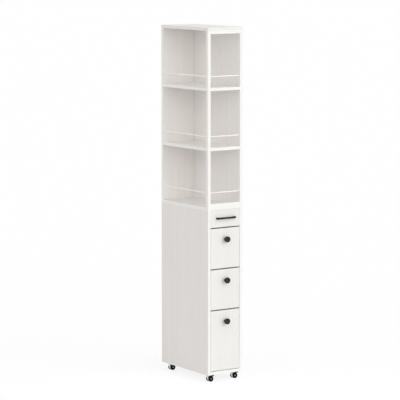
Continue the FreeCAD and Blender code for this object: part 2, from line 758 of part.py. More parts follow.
os.makedirs("parts", exist_ok=True)
make_case()
for drawer, (low, high, gap) in drawer_levels.items():
    make_drawer(drawer, low, high, gap)
make_casters()
print("case levels", base_top, counter_bottom, counter_top, lower_shelf, upper_shelf, lid_bottom)
print("bay height", bay_height, "nodes", len(os.listdir("parts")))
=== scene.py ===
# %% [markdown]
# # A slim storage cart on casters
# The real cart is a stack of white wood-grain boards: three open bays with thin guard rails, four
# drawers below them, and four small swivel casters underneath. The construction comes in as a fixed
# frame, and this lesson gives it its finishes, its turned and moulded hardware, and a plain studio
# to stand in.

# %% Load the frame
import math

import bmesh
import bpy
from mathutils import Matrix, Vector


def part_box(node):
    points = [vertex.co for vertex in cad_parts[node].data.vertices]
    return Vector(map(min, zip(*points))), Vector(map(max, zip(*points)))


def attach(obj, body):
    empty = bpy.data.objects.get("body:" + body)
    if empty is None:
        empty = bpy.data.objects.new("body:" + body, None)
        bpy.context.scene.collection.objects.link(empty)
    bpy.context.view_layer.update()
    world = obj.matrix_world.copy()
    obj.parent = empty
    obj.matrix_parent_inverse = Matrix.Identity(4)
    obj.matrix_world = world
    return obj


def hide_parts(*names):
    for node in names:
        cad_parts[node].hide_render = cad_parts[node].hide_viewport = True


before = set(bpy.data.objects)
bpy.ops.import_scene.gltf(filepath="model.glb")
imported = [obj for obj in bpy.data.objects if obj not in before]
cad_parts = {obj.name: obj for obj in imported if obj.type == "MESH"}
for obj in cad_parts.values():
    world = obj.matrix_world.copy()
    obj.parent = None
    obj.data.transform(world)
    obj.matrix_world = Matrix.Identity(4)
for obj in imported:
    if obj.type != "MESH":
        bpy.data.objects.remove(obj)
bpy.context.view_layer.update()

# %% [markdown]
# ## The camera
# A tall thin object looks right only from the photograph's own distance. A long lens from ten metres
# keeps the uprights nearly parallel, and the small pitch shows just a sliver of the lid. The place
# and the angles were worked out from the edges of the boards, whose real lengths are known.

# %% Camera
CAMERA_PLACE = Vector((-5.673, -8.223, 2.130))
CAMERA_YAW = math.radians(34.52)
CAMERA_PITCH = math.radians(7.25)
CAMERA_LENS = 187.3
CAMERA_REACH = 200.0


def add_object(name, data):
    """A new object in the scene."""
    thing = bpy.data.objects.new(name, data)
    bpy.context.scene.collection.objects.link(thing)
    return thing


def point_along(thing, direction):
    """Turns a camera or a lamp, which looks down its own -Z, in a direction."""
    thing.rotation_mode = "QUATERNION"
    thing.rotation_quaternion = direction.to_track_quat("-Z", "Y")


forward = Vector((
    math.sin(CAMERA_YAW) * math.cos(CAMERA_PITCH),
    math.cos(CAMERA_YAW) * math.cos(CAMERA_PITCH),
    -math.sin(CAMERA_PITCH),
))
camera = add_object("camera", bpy.data.cameras.new("camera"))
camera.data.lens = CAMERA_LENS
camera.data.clip_end = CAMERA_REACH
camera.location = CAMERA_PLACE
point_along(camera, forward)
bpy.context.scene.camera = camera
print("camera is", round(CAMERA_PLACE.length, 2), "m away")

# %% [markdown]
# ## Writing a material as a formula
# A procedural finish is a sum of patterns. Two small classes keep it readable: one wraps a socket, so
# that adding or multiplying it makes the Math node, and the other builds every node of one material,
# or of the world.


# %% Sockets that add up
class Signal:
    """The output of a node, which can be used in a sum."""

    def __init__(self, finish, socket):
        self.finish = finish
        self.socket = socket

    def math(self, operation, *others):
        """A Math node that takes this signal first."""
        return self.finish.add("Math", {"operation": operation}, dict(enumerate((self, *others))))

    def __add__(self, other):
        return self.math("ADD", other)

    def __mul__(self, other):
        return self.math("MULTIPLY", other)

    def __rsub__(self, other):
        return self * -1.0 + other

    __radd__ = __add__
    __rmul__ = __mul__

    def between(self, low, high):
        """0 up to low, 1 from high on, and smooth in between."""
        settings = {"interpolation_type": "SMOOTHSTEP"}
        return self.finish.add("MapRange", settings, {0: self, 1: low, 2: high})


# %% [markdown]
# ## The nodes of one finish
# Every pattern here is noise that reads the object's own coordinates, in metres, so its scale is a
# number of repeats per metre. A colour Mix node has sockets of the same name for each kind of value,
# which is why its sockets are picked by number.


# %% Finishes
class Finish:
    """The nodes of one material, or of the world."""

    def __init__(self, owner):
        self.owner = owner
        owner.use_nodes = True
        self.tree = owner.node_tree
        self.tree.nodes.clear()

    def add(self, kind, settings, inputs, output=0):
        """A node of that kind, set up first and then fed with values or signals."""
        node = self.tree.nodes.new("ShaderNode" + kind)
        for name, value in settings.items():
            setattr(node, name, value)
        for name, value in inputs.items():
            if isinstance(value, Signal):
                self.tree.links.new(value.socket, node.inputs[name])
            else:
                node.inputs[name].default_value = value
        return Signal(self, node.outputs[output]) if node.outputs else None

    def noise(self, scale, detail=2.0, rough=0.5):
        """Noise with its own number of repeats per metre along X, Y and Z."""
        point = self.add("TexCoord", {}, {}, "Object")
        place = self.add("Mapping", {}, {"Vector": point, "Scale": scale})
        inputs = {"Vector": place, "Scale": 1.0, "Detail": detail, "Roughness": rough}
        return self.add("TexNoise", {}, inputs)

    def facing(self, axis):
        """How squarely a surface faces along an axis, either way, from 0 to 1."""
        normal = self.add("TexCoord", {}, {}, "Normal")
        return self.add("SeparateXYZ", {}, {0: normal}, axis).math("ABSOLUTE")

    def blend(self, amount, low, high):
        """A colour that goes from low to high as the amount goes from 0 to 1."""
        return self.add("Mix", {"data_type": "RGBA"}, {0: amount, 6: low, 7: high}, 2)

    def surface(self, inputs, height, depth):
        """Closes a material with its shader. The height is a relief, the depth its size in metres."""
        normal = self.add("Bump", {}, {"Height": height, "Distance": depth})
        shader = self.add("BsdfPrincipled", {}, {**inputs, "Normal": normal})
        self.add("OutputMaterial", {}, {"Surface": shader})
        return self.owner


def paint(red, green, blue):
    """A colour from 8-bit screen values, taken off the sRGB curve as the shaders want it."""
    def linear(level):
        share = level / 255
        return share / 12.92 if share <= 0.04045 else ((share + 0.055) / 1.055) ** 2.4
    return (linear(red), linear(green), linear(blue), 1.0)


print("white is", paint(255, 255, 255))

# %% [markdown]
# ## White wood-grain board
# Every board is chipboard under a white printed paper, with a plainer white band glued on its narrow
# edges. Up close the print has fine streaks, dark pores and, here and there, the long nested arches
# of a plain-sawn log; from further off only broad pale bands are left. The pattern is solid noise
# stretched along the grain, so on its own it would run on over an edge, where it would show end-on as
# specks. The edge bands therefore get their own quieter colour, whose streaks run along the edge,
# picked out by which way a face looks. The drawer fronts' top and bottom edges are painted grey, as
# painted shade that stands in for the shade inside the gaps, so the gaps read as dark lines.

# %% White board
BOARD_LIGHT = paint(242, 239, 236)
BOARD_GRAIN = paint(233, 228, 224)
WHITE_BAND = (paint(249, 248, 245), paint(243, 241, 238))
WARM_BAND = (paint(245, 242, 238), paint(238, 234, 230))
# Painted shade: grey on the drawer fronts' top and bottom edges, where the gaps between drawers are
# in shade.
GAP_SHADE_BAND = (paint(196, 191, 186), paint(188, 182, 177))

# Repeats per metre across the grain and along it.
STREAKS = (330.0, 5.0)
BROAD_BANDS = (55.0, 0.9)
ARCHES = (8.0, 1.1)
ARCH_PATCHES = (6.0, 1.6)
PORES = (1500.0, 60.0)
ARCH_COUNT = 150.0

# How much each pattern darkens the print.
STREAK_SHARE = 0.45
ARCH_SHARE = 0.35
PORE_SHARE = 0.2
BAND_SHARE = 0.2

PORE_DEPTH = 0.00006
PAPER_ROUGHNESS = 0.46
PORE_ROUGHNESS = 0.12
SQUARE_ON = (0.8, 0.95)


def stretched(repeats, grain):
    """The repeats across the grain for two axes and those along it for the third."""
    return tuple(repeats[1] if axis == grain else repeats[0] for axis in "XYZ")


def streaked(finish, grain):
    """Fine streaks along one axis."""
    return finish.noise(stretched(STREAKS, grain), detail=4.0, rough=0.65)


def board_finish(name, grain, broad, sides=WHITE_BAND, ends=WHITE_BAND):
    """White board whose grain runs along one axis and whose broad faces look along another."""
    finish = Finish(bpy.data.materials.new(name))
    streaks = streaked(finish, grain)
    bands = finish.noise(stretched(BROAD_BANDS, grain), detail=2.0).between(0.35, 0.65)
    arches = finish.noise(stretched(ARCHES, grain), detail=0.0) * ARCH_COUNT
    arch_lines = arches.math("SINE").between(0.35, 1.0)
    arch_patches = finish.noise(stretched(ARCH_PATCHES, grain), detail=1.0).between(0.45, 0.7)
    pores = finish.noise(stretched(PORES, grain), detail=1.0).between(0.56, 0.7)
    figure = streaks.between(0.35, 0.75) * STREAK_SHARE + arch_lines * arch_patches * ARCH_SHARE
    figure = figure + pores * PORE_SHARE + bands * BAND_SHARE
    face = finish.blend(figure, BOARD_LIGHT, BOARD_GRAIN)

    along_edge = next(axis for axis in "XYZ" if axis not in (grain, broad))
    side_band = finish.blend(streaks, *sides)
    end_band = finish.blend(streaked(finish, along_edge), *ends)
    band = finish.blend(finish.facing(grain).between(*SQUARE_ON), side_band, end_band)

    on_face = finish.facing(broad).between(*SQUARE_ON) if broad else 0.0
    inputs = {
        "Base Color": finish.blend(on_face, band, face),
        "Roughness": pores * PORE_ROUGHNESS + PAPER_ROUGHNESS,
    }
    return finish.surface(inputs, 1.0 - pores * on_face, PORE_DEPTH)


upright_side = board_finish("white_board_side", "Z", "X")
upright_front = board_finish("white_board_front", "Z", "Y")
# The drawer fronts carry painted shade on their top and bottom edges.
drawer_front = board_finish("white_board_drawer_gap_shade", "Z", "Y", ends=GAP_SHADE_BAND)
level_board = board_finish("white_board_level", "Y", "Z")
lid_board = board_finish("white_lid", "Y", "Z", sides=WARM_BAND, ends=WARM_BAND)
white_post = board_finish("white_post", "Z", None)
white_crossbar = board_finish("white_crossbar", "X", None)
print("board finishes:", len(bpy.data.materials))

# %% [markdown]
# ## Plain white finishes
# The drawer boxes are plain white melamine, which has a faint orange-peel skin and no grain. Thin
# hardboard is duller, and the runners and guard rails are coated steel. One recipe does for all of
# them: a cloudy colour, a gloss that varies with it, and a fine relief at the skin's own real scale,
# such as half a millimetre for powder coat. The clouds are twelve times as wide as the relief.

# %% Plain white finishes
CLOUD_WIDTH = 12


def skin_finish(name, light, dark, repeats, roughness, spread, depth, metal=0.0, shine=0.5):
    """A finish without a direction. The repeats are per metre and the depth is in metres."""
    finish = Finish(bpy.data.materials.new(name))
    clouds = finish.noise((repeats / CLOUD_WIDTH,) * 3, detail=3.0)
    peel = finish.noise((repeats,) * 3, detail=2.0)
    inputs = {
        "Base Color": finish.blend(clouds.between(0.3, 0.7), light, dark),
        "Roughness": clouds * spread + (roughness - spread / 2),
        "Metallic": metal,
        "Specular IOR Level": shine,
    }
    return finish.surface(inputs, peel, depth)


melamine = skin_finish(
    "white_melamine", paint(238, 237, 234), paint(236, 235, 232),
    repeats=700, roughness=0.45, spread=0.06, depth=0.00003,
)
hardboard = skin_finish(
    "white_hardboard", paint(234, 232, 228), paint(232, 230, 225),
    repeats=1100, roughness=0.55, spread=0.08, depth=0.00005,
)
powder_coat = skin_finish(
    "powder_coat", paint(250, 250, 249), paint(248, 248, 247),
    repeats=1800, roughness=0.3, spread=0.08, depth=0.00003,
)
runner_coat = skin_finish(
    "runner_coat", paint(224, 225, 225), paint(221, 222, 223),
    repeats=1600, roughness=0.34, spread=0.06, depth=0.00002,
)
print("plain white finishes:", melamine.name, hardboard.name, powder_coat.name, runner_coat.name)

# %% [markdown]
# ## Black, zinc and beech
# The pulls are painted satin black, and the casters are black moulded plastic on a zinc-plated body.
# Plastic from a mould keeps the fine spark-eroded texture of the steel, and it shines less than paint
# does. Zinc plate has cloudy crystals a few millimetres wide. The dowels, which only show when the
# cart is taken apart, are plain beech.

# %% Black, zinc and beech
black_satin = skin_finish(
    "black_satin", paint(11, 11, 12), paint(18, 18, 19),
    repeats=2200, roughness=0.34, spread=0.1, depth=0.00003, shine=0.34,
)
black_moulded = skin_finish(
    "black_moulded", paint(6, 6, 7), paint(11, 11, 12),
    repeats=2600, roughness=0.5, spread=0.14, depth=0.00004, shine=0.1,
)
tread_black = skin_finish(
    "tread_black", paint(8, 8, 9), paint(16, 16, 16),
    repeats=1400, roughness=0.62, spread=0.16, depth=0.00006, shine=0.1,
)
bright_zinc = skin_finish(
    "bright_zinc", paint(214, 217, 220), paint(205, 208, 212),
    repeats=420, roughness=0.3, spread=0.12, depth=0.00001, metal=1.0,
)
dull_zinc = skin_finish(
    "dull_zinc", paint(158, 160, 163), paint(146, 148, 152),
    repeats=420, roughness=0.42, spread=0.12, depth=0.00002, metal=1.0,
)
beech = skin_finish(
    "beech_dowel", paint(222, 196, 158), paint(204, 174, 132),
    repeats=1200, roughness=0.6, spread=0.1, depth=0.00008,
)
print("finishes:", len(bpy.data.materials))

# %% [markdown]
# ## Dressing the frame
# A construction piece whose shape is already right only needs its finish. The grain of a real board
# runs along its length, so upright boards and drawer fronts get an upright grain, and the lid,
# shelves, counter and base one that runs from front to back. The pieces that are made anew further
# on are dressed too, so that nothing is left bare.

# %% Give the frame's nodes their finishes
DRAWERS = ("top", "upper", "middle", "bottom")
CASTERS = ("front_left", "front_right", "rear_left", "rear_right")

wanted = {
    upright_side: ["right_side_panel", "left_side_panel"],
    upright_front: ["upper_back_panel"],
    drawer_front: [name + "_drawer_front" for name in DRAWERS],
    lid_board: ["lid"],
    level_board: ["counter_board", "upper_shelf", "lower_shelf", "base_board"],
    white_post: ["front_post"],
    white_crossbar: ["top_crossbar", "counter_crossbar"],
    hardboard: ["lower_back_panel"] + [name + "_drawer_floor" for name in DRAWERS],
    melamine: [name + part for name in DRAWERS for part in ("_drawer_sides", "_drawer_back")],
    powder_coat: ["side_guard_rails", "front_guard_rails"],
    runner_coat: [name + part for name in DRAWERS for part in ("_drawer_runners", "_case_runners")],
    black_satin: ["top_drawer_handle"] + [name + "_drawer_knob" for name in DRAWERS[1:]],
    bright_zinc: ["caster_plates", "caster_kingpins", "caster_screws"]
    + [part + name for name in CASTERS for part in ("caster_fork_", "caster_axle_")],
    tread_black: ["caster_wheel_" + name for name in CASTERS],
    black_moulded: ["brake_lever_" + name for name in CASTERS[:2]],
    beech: ["dowels"],
}
for material, nodes in wanted.items():
    for node in nodes:
        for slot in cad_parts[node].material_slots:
            slot.material = material
print("dressed", sum(len(nodes) for nodes in wanted.values()), "nodes")

# %% [markdown]
# ## Turning a shape
# Most fittings here are turned on a lathe or pressed in a round mould, and the spin operator does the
# same: it takes half an outline once round an axis. The outlines are in millimetres, as furniture
# fittings are drawn. A point of an outline is its distance from the axis and its distance along it.

# %% Turning and placing a shape
ALONG_X = Vector((1, 0, 0))
ALONG_Y = Vector((0, 1, 0))
ALONG_Z = Vector((0, 0, 1))
ROUND_STEPS = 72
SMALL_STEPS = 28
WELD = 0.0001


def arc(radius, along, size, first, last, count=6):
    """Points of a half outline on an arc round (radius, along), its angles in degrees."""
    angles = [math.radians(first + (last - first) * n / count) for n in range(count + 1)]
    return [(radius + size * math.cos(angle), along + size * math.sin(angle)) for angle in angles]


def put(shape, place, axis):
    """Moves a shape that stands on the origin along Z to its own place and axis."""
    turn = axis.to_track_quat("Z", "Y").to_matrix().to_4x4()
    bmesh.ops.transform(shape, matrix=Matrix.Translation(place) @ turn, verts=shape.verts[:])


def turned(profile, place, axis, steps=ROUND_STEPS, closed=False):
    """Spins the points (radius, distance along the axis) once round."""
    shape = bmesh.new()
    points = [shape.verts.new((radius, 0, along)) for radius, along in profile]
    pairs = list(zip(points, points[1:])) + ([(points[-1], points[0])] if closed else [])
    outline = points + [shape.edges.new(pair) for pair in pairs]
    bmesh.ops.spin(
        shape, geom=outline, cent=(0, 0, 0), axis=ALONG_Z,
        angle=math.tau, steps=steps, use_merge=True,
    )
    bmesh.ops.remove_doubles(shape, verts=shape.verts[:], dist=WELD)
    bmesh.ops.recalc_face_normals(shape, faces=shape.faces[:])
    put(shape, place, axis)
    return shape


print("a full turn takes", ROUND_STEPS, "steps, or", SMALL_STEPS, "on small fittings")

# %% [markdown]
# ## Finishing a piece
# Blender works in metres, so each shape is shrunk from millimetres at the very end, when it becomes
# an object. It is shaded smooth except over its sharper edges, gets its finish, and then rides on the
# body that carries it. Most pieces stand for a node of the frame, which they hide.

# %% Finishing a piece
MM = 0.001
SHARP_ANGLE = math.radians(32)


def as_mesh(shape, name="scratch"):
    """Ends the work on a bmesh and gives its mesh."""
    mesh = bpy.data.meshes.new(name)
    shape.to_mesh(mesh)
    shape.free()
    return mesh


def joined(shapes):
    """One bmesh out of several."""
    whole = bmesh.new()
    for shape in shapes:
        mesh = as_mesh(shape)
        whole.from_mesh(mesh)
        bpy.data.meshes.remove(mesh)
    return whole


def finish_piece(name, shape, material, body, slot, *nodes):
    """Turns a shape in millimetres into a piece that rides on a body and stands for those nodes."""
    bmesh.ops.scale(shape, vec=(MM, MM, MM), verts=shape.verts[:])
    mesh = as_mesh(shape, name)
    mesh.shade_smooth()
    mesh.set_sharp_from_angle(angle=SHARP_ANGLE)
    mesh.materials.append(material)
    piece = add_object(name, mesh)
    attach(piece, body)
    if nodes:
        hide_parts(*nodes)
    print(name, len(mesh.polygons), "faces")


def middle(node):
    """The middle of a node's box, in millimetres."""
    low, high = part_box(node)
    return (Vector(low) + Vector(high)) / 2 / MM


print("the top drawer's handle is", round(middle("top_drawer_handle").z), "mm up")

# %% [markdown]
# ## Screws with a cross recess
# Pan-head screws hold the pulls, the runners and the caster plates. The head is turned, and a tapered
# cross is cut out of it. A boolean does that cut cleanly; it is worked out once for each size of
# screw, and the result is copied to all the places.

# %% Screw heads
# The recess's width and length are shares of the head's radius, and its depth one of its height.
RECESS_WIDTH = 0.3
RECESS_LENGTH = 1.25
RECESS_DEPTH = 0.7
RECESS_TAPER = 0.7
SHANK_OVERLAP = 0.1


def cuboid(size):
    """A box of that size with its middle on the origin."""
    shape = bmesh.new()
    bmesh.ops.create_cube(shape, size=1)
    bmesh.ops.scale(shape, vec=size, verts=shape.verts[:])
    return shape


def move(shape, step):
    """Moves a shape without turning it."""
    bmesh.ops.translate(shape, vec=step, verts=shape.verts[:])


def carved(shape, tool):
    """The shape with the tool cut out of it."""
    things = [add_object("scratch", as_mesh(part)) for part in (shape, tool)]
    cut = things[0].modifiers.new("cut", "BOOLEAN")
    cut.object = things[1]
    cut.operation = "DIFFERENCE"
    cut.solver = "EXACT"
    result = bmesh.new()
    result.from_object(things[0], bpy.context.evaluated_depsgraph_get())
    for thing in things:
        bpy.data.meshes.remove(thing.data)
    return result


def screw_mesh(radius, height, shank_radius, shank_length):
    """A pan-head screw that stands on the origin along Z."""
    origin = Vector((0, 0, 0))
    head = [(0, 0), (radius, 0), (radius, 0.4 * height)]
    head += arc(0.72 * radius, 0.4 * height, 0.28 * radius, 10, 60, 3)
    head += [(0.5 * radius, 0.96 * height), (0, height)]
    shape = turned(head, origin, ALONG_Z, SMALL_STEPS)
    for size in ((RECESS_LENGTH, RECESS_WIDTH), (RECESS_WIDTH, RECESS_LENGTH)):
        blade = cuboid((size[0] * radius, size[1] * radius, height))
        move(blade, (0, 0, (1.5 - RECESS_DEPTH) * height))
        tip = [vert for vert in blade.verts if vert.co.z < height]
        bmesh.ops.scale(blade, vec=(RECESS_TAPER, RECESS_TAPER, 1), verts=tip)
        shape = carved(shape, blade)
    side = [(shank_radius, SHANK_OVERLAP), (shank_radius, -shank_length)]
    shank_outline = [(0, SHANK_OVERLAP), *side, (0, -shank_length)]
    shank = turned(shank_outline, origin, ALONG_Z, SMALL_STEPS)
    return as_mesh(joined([shape, shank]), "screw")


def screws(mesh, places, axis):
    """Copies of one screw at several places, all along one axis."""
    copies = []
    for place in places:
        copy = bmesh.new()
        copy.from_mesh(mesh)
        put(copy, place, axis)
        copies.append(copy)
    return joined(copies)


pull_screw = screw_mesh(radius=4.2, height=2.4, shank_radius=2.0, shank_length=22.0)
plate_screw = screw_mesh(radius=3.0, height=1.2, shank_radius=1.5, shank_length=12.0)
runner_screw = screw_mesh(radius=2.8, height=1.2, shank_radius=1.5, shank_length=1.0)
print("screw faces:", [len(mesh.polygons) for mesh in (pull_screw, plate_screw, runner_screw)])

# %% [markdown]
# ## The round knobs
# Each lower drawer has a black knob on a narrow neck. Its face isn't flat: a rounded rim stands round
# a shallow dish, and that dish catches a soft light in its middle. The outline runs from the foot on
# the drawer front, up the neck, round the head and down into the dish.

# %% Knobs
FRONT_Y = -188.0
BACK_OF_FRONT_Y = -173.0
KNOB_OUTLINE = [
    (0, 0), (7, 0), *arc(6.2, 1.2, 0.8, 0, 80, 4), (5.8, 2.6), (5.5, 4.0),
    *arc(8.5, 8.9, 3.0, 180, 100, 6), (12.9, 13.2),
    *arc(13.2, 14.5, 1.3, -80, 0, 5),
    *arc(11.9, 21.4, 2.6, 0, 100, 8), (10.4, 23.5), (9.13, 23.0),
    *arc(0, 74.8, 52.6, -80, -90, 6),
]

for drawer in DRAWERS[1:]:
    node = drawer + "_drawer_knob"
    level = middle(node).z
    knob = turned(KNOB_OUTLINE, Vector((0, FRONT_Y, level)), -ALONG_Y)
    finish_piece(drawer + "_knob", knob, black_satin, drawer + "_drawer", "pull_black", node)
    screw = screws(pull_screw, [Vector((0, BACK_OF_FRONT_Y, level))], ALONG_Y)
    finish_piece(
        drawer + "_knob_screw", screw, bright_zinc, drawer + "_drawer", "pull_black", node
    )

# %% [markdown]
# ## The bar handle
# The shallow top drawer has a flat black bar with its two ends bent back to the front, cut from one
# strip. A block is split where the legs begin, its two back end faces are pulled out to the front,
# and then the corners are rounded: first the bends, which are wide, and then all the edges, which are
# only eased.

# %% Bar handle
HANDLE_HALF = 54.0
HANDLE_LEG = 8.0
HANDLE_REACH = 16.0
HANDLE_BAR = 6.0
HANDLE_HEIGHT = 9.0
HANDLE_BEND = 5.0
HANDLE_INNER_BEND = 3.6
HANDLE_EASE = 1.3
RIM_ANGLE = math.radians(60)
TOUCH = 0.01


def rounded(shape, edges, size, segments):
    """Rounds those edges of a shape."""
    bmesh.ops.bevel(
        shape, geom=edges, offset=size, segments=segments,
        profile=0.5, affect="EDGES", material=-1,
    )


def upright_edges(shape, x, y):
    """The edges along Z at one corner of the bar, on both ends."""
    return [
        edge
        for edge in shape.edges
        if all(abs(abs(v.co.x) - x) < TOUCH and abs(v.co.y - y) < TOUCH for v in edge.verts)
    ]


bar = cuboid((2 * HANDLE_HALF, HANDLE_BAR, HANDLE_HEIGHT))
move(bar, (0, HANDLE_BAR / 2 - HANDLE_REACH, 0))
leg_start = HANDLE_HALF - HANDLE_LEG
for x in (-leg_start, leg_start):
    everything = bar.verts[:] + bar.edges[:] + bar.faces[:]
    bmesh.ops.bisect_plane(bar, geom=everything, plane_co=(x, 0, 0), plane_no=ALONG_X)
backs = [face for face in bar.faces if face.normal.y > 0.9]
ends = [face for face in backs if abs(face.calc_center_median().x) > leg_start]
legs = bmesh.ops.extrude_discrete_faces(bar, faces=ends)["faces"]
leg_verts = {vert for face in legs for vert in face.verts}
bmesh.ops.translate(bar, vec=(0, HANDLE_REACH - HANDLE_BAR, 0), verts=list(leg_verts))
bmesh.ops.remove_doubles(bar, verts=bar.verts[:], dist=WELD)

rounded(bar, upright_edges(bar, HANDLE_HALF, -HANDLE_REACH), HANDLE_BEND, 8)
rounded(bar, upright_edges(bar, leg_start, HANDLE_BAR - HANDLE_REACH), HANDLE_INNER_BEND, 6)
rims = [edge for edge in bar.edges if edge.is_manifold and edge.calc_face_angle() > RIM_ANGLE]
rims = [edge for edge in rims if max(vert.co.y for vert in edge.verts) < -TOUCH]
rounded(bar, rims, HANDLE_EASE, 3)
bmesh.ops.recalc_face_normals(bar, faces=bar.faces[:])
handle_level = middle("top_drawer_handle").z
move(bar, (0, FRONT_Y, handle_level))
finish_piece("bar_handle", bar, black_satin, "top_drawer", "pull_black", "top_drawer_handle")

# %% [markdown]
# ## The handle's screws
# Two screws from inside the drawer go into the handle's legs, one in the middle of each. They show
# when the drawer is open.

# %% Handle screws
leg_middle = HANDLE_HALF - HANDLE_LEG / 2
places = [Vector((x, BACK_OF_FRONT_Y, handle_level)) for x in (-leg_middle, leg_middle)]
handle_screws = screws(pull_screw, places, ALONG_Y)
finish_piece(
    "handle_screws", handle_screws, bright_zinc, "top_drawer", "pull_black", "top_drawer_handle"
)

# %% [markdown]
# ## Caster wheels
# Each small caster has two black moulded wheels on one axle, with the zinc body between them. A mould
# leaves rounded shoulders, a thin parting line round the tread, and a web with ribs between the hub
# and the rim. The outline is spun as a closed loop, because the bore goes right through.

# %% Wheels
WHEEL_INSIDE = 6.8
WHEEL_OUTSIDE = 12.4
RIB_COUNT = 6
RIB_SIZE = (6.4, 1.1, 1.2)
RIB_EDGE = 0.25
RIB_PLACE = (7.2, 0, WHEEL_OUTSIDE - 1.2)
WHEEL_OUTLINE = [
    (1.55, 6.2), (4.0, 6.2), (4.0, WHEEL_INSIDE), (13.5, WHEEL_INSIDE),
    (14.0, 7.2), (14.0, 9.1), (13.86, 9.3), (13.86, 9.5), (14.0, 9.7),
    *arc(12.4, 10.8, 1.6, 0, 90, 6),
    (11.2, WHEEL_OUTSIDE), (10.8, 12.2), (10.6, 11.4), (10.2, 11.2),
    (5.2, 11.2), (4.6, 11.4), (4.3, 12.1), (3.9, WHEEL_OUTSIDE), (1.55, WHEEL_OUTSIDE),
]


def block(size, edge, segments, place):
    """A small box with all its edges rounded."""
    shape = cuboid(size)
    rounded(shape, shape.edges[:], edge, segments)
    move(shape, place)
    return shape


def wheel(centre, side):
    """One wheel of a pair, on one side of the caster's middle plane."""
    parts = [turned(WHEEL_OUTLINE, centre, ALONG_Y * side, closed=True)]
    for n in range(RIB_COUNT):
        rib = block(RIB_SIZE, RIB_EDGE, 2, RIB_PLACE)
        turn = Matrix.Rotation(math.tau * n / RIB_COUNT, 4, "Z")
        bmesh.ops.transform(rib, matrix=turn, verts=rib.verts[:])
        put(rib, centre, ALONG_Y * side)
        parts.append(rib)
    return parts


for corner in CASTERS:
    node = "caster_wheel_" + corner
    centre = middle(node)
    pair = joined(wheel(centre, -1) + wheel(centre, 1))
    finish_piece("wheels_" + corner, pair, tread_black, "wheel_" + corner, "caster_black", node)

# %% [markdown]
# ## Axles and pins
# A steel rivet carries the wheels. Its ends are domed by the press and keep a small dimple in the
# middle, and they are the light dots in the middle of the black wheels. The front casters have a
# thinner one for the brake lever.

# %% Rivets
# A rivet's radius, its head's radius, and how far from the middle its heads start.
AXLE = (1.5, 3.0, 12.5)
BRAKE_PIN = (1.1, 1.55, 12.1)
BRAKE_FROM_AXLE = Vector((9.5, 0, 14.0013))
# Points of the domed end: a share of the head's radius, and the height over where it starts.
DOME = ((1.0, 0.25), (0.85, 0.62), (0.5, 0.8), (0.25, 0.72), (0.0, 0.55))


def rivet(centre, radius, head, reach):
    """A rivet along Y with a domed head at each end."""
    end = [(radius, reach), (head, reach)]
    end += [(share * head, reach + rise) for share, rise in DOME]
    start = [(size, -along) for size, along in reversed(end)]
    return turned(start + end, centre, ALONG_Y, SMALL_STEPS)


for corner in CASTERS:
    node = "caster_axle_" + corner
    centre = middle("caster_wheel_" + corner)
    parts = [rivet(centre, *AXLE)]
    if corner.startswith("front"):
        parts.append(rivet(centre + BRAKE_FROM_AXLE, *BRAKE_PIN))
    finish_piece(
        "rivets_" + corner, joined(parts), dull_zinc, "caster_" + corner, "caster_zinc", node
    )

# %% [markdown]
# ## Grip ribs and a turned-down rim on the brake pedals
# The pedal of a foot brake has raised bars, so that a shoe doesn't slip off, and its front and side
# edges are turned down, which stiffens it and gives the toe something to lift. The lever itself comes
# from the frame with the right shape. The bars are added on its upper side, and the rim round its
# outer end. All of them are laid out on a level pedal and tilted with it at the end.

# %% Pedal ribs and rim
PEDAL_SLOPE = math.radians(20)
PEDAL_RIBS = (5.6, 7.3, 9.0)
PEDAL_RIB_LEVEL = 1.8
PEDAL_RIB_SIZE = (0.8, 14.0, 0.7)
PEDAL_RIB_EDGE = 0.25
PEDAL_LIP_SIZE = (2.2, 15.0, 6.4)
PEDAL_LIP_PLACE = Vector((9.6, 0, -2.0))
PEDAL_LIP_EDGE = 0.9
PEDAL_LIP_TAPER = 0.8
PEDAL_SKIRT_SIZE = (5.0, 1.8, 6.0)
PEDAL_SKIRT_PLACE = Vector((7.5, 7.4, -1.8))
PEDAL_SKIRT_EDGE = 0.6


def pedal_rim():
    """The lip across the pedal's outer end, narrower below, and the skirts down its two sides."""
    lip = block(PEDAL_LIP_SIZE, PEDAL_LIP_EDGE, 3, PEDAL_LIP_PLACE)
    low = [vert for vert in lip.verts if vert.co.z < PEDAL_LIP_PLACE.z]
    bmesh.ops.scale(lip, vec=(1, PEDAL_LIP_TAPER, 1), verts=low)
    x, y, z = PEDAL_SKIRT_PLACE
    places = ((x, -y, z), (x, y, z))
    return [lip] + [block(PEDAL_SKIRT_SIZE, PEDAL_SKIRT_EDGE, 2, place) for place in places]


for corner in CASTERS[:2]:
    pivot = middle("caster_wheel_" + corner) + BRAKE_FROM_AXLE
    places = [(reach, 0, PEDAL_RIB_LEVEL) for reach in PEDAL_RIBS]
    ribs = [block(PEDAL_RIB_SIZE, PEDAL_RIB_EDGE, 2, place) for place in places]
    extras = joined(ribs + pedal_rim())
    slope = Matrix.Translation(pivot) @ Matrix.Rotation(-PEDAL_SLOPE, 4, "Y")
    bmesh.ops.transform(extras, matrix=slope, verts=extras.verts[:])
    finish_piece("pedal_ribs_" + corner, extras, black_moulded, "brake_" + corner, "brake_black")

# %% [markdown]
# ## Screws of the casters
# Four pan-head screws hold each caster plate from below, round the kingpin. The wheels trail a little
# to one side of the kingpin, as on any swivel caster, so the screws are measured from there.

# %% Caster plate screws
PLATE_BOTTOM = 36.5
PLATE_SCREW_OFFSET = 10.5
TRAIL = 6.0

plate_places = []
for corner in CASTERS:
    kingpin = middle("caster_wheel_" + corner) - ALONG_X * TRAIL
    for dx in (-PLATE_SCREW_OFFSET, PLATE_SCREW_OFFSET):
        for dy in (-PLATE_SCREW_OFFSET, PLATE_SCREW_OFFSET):
            plate_places.append(Vector((kingpin.x + dx, kingpin.y + dy, PLATE_BOTTOM)))
plate_set = screws(plate_screw, plate_places, -ALONG_Z)
finish_piece("plate_screws", plate_set, bright_zinc, "cabinet", "caster_zinc", "caster_screws")

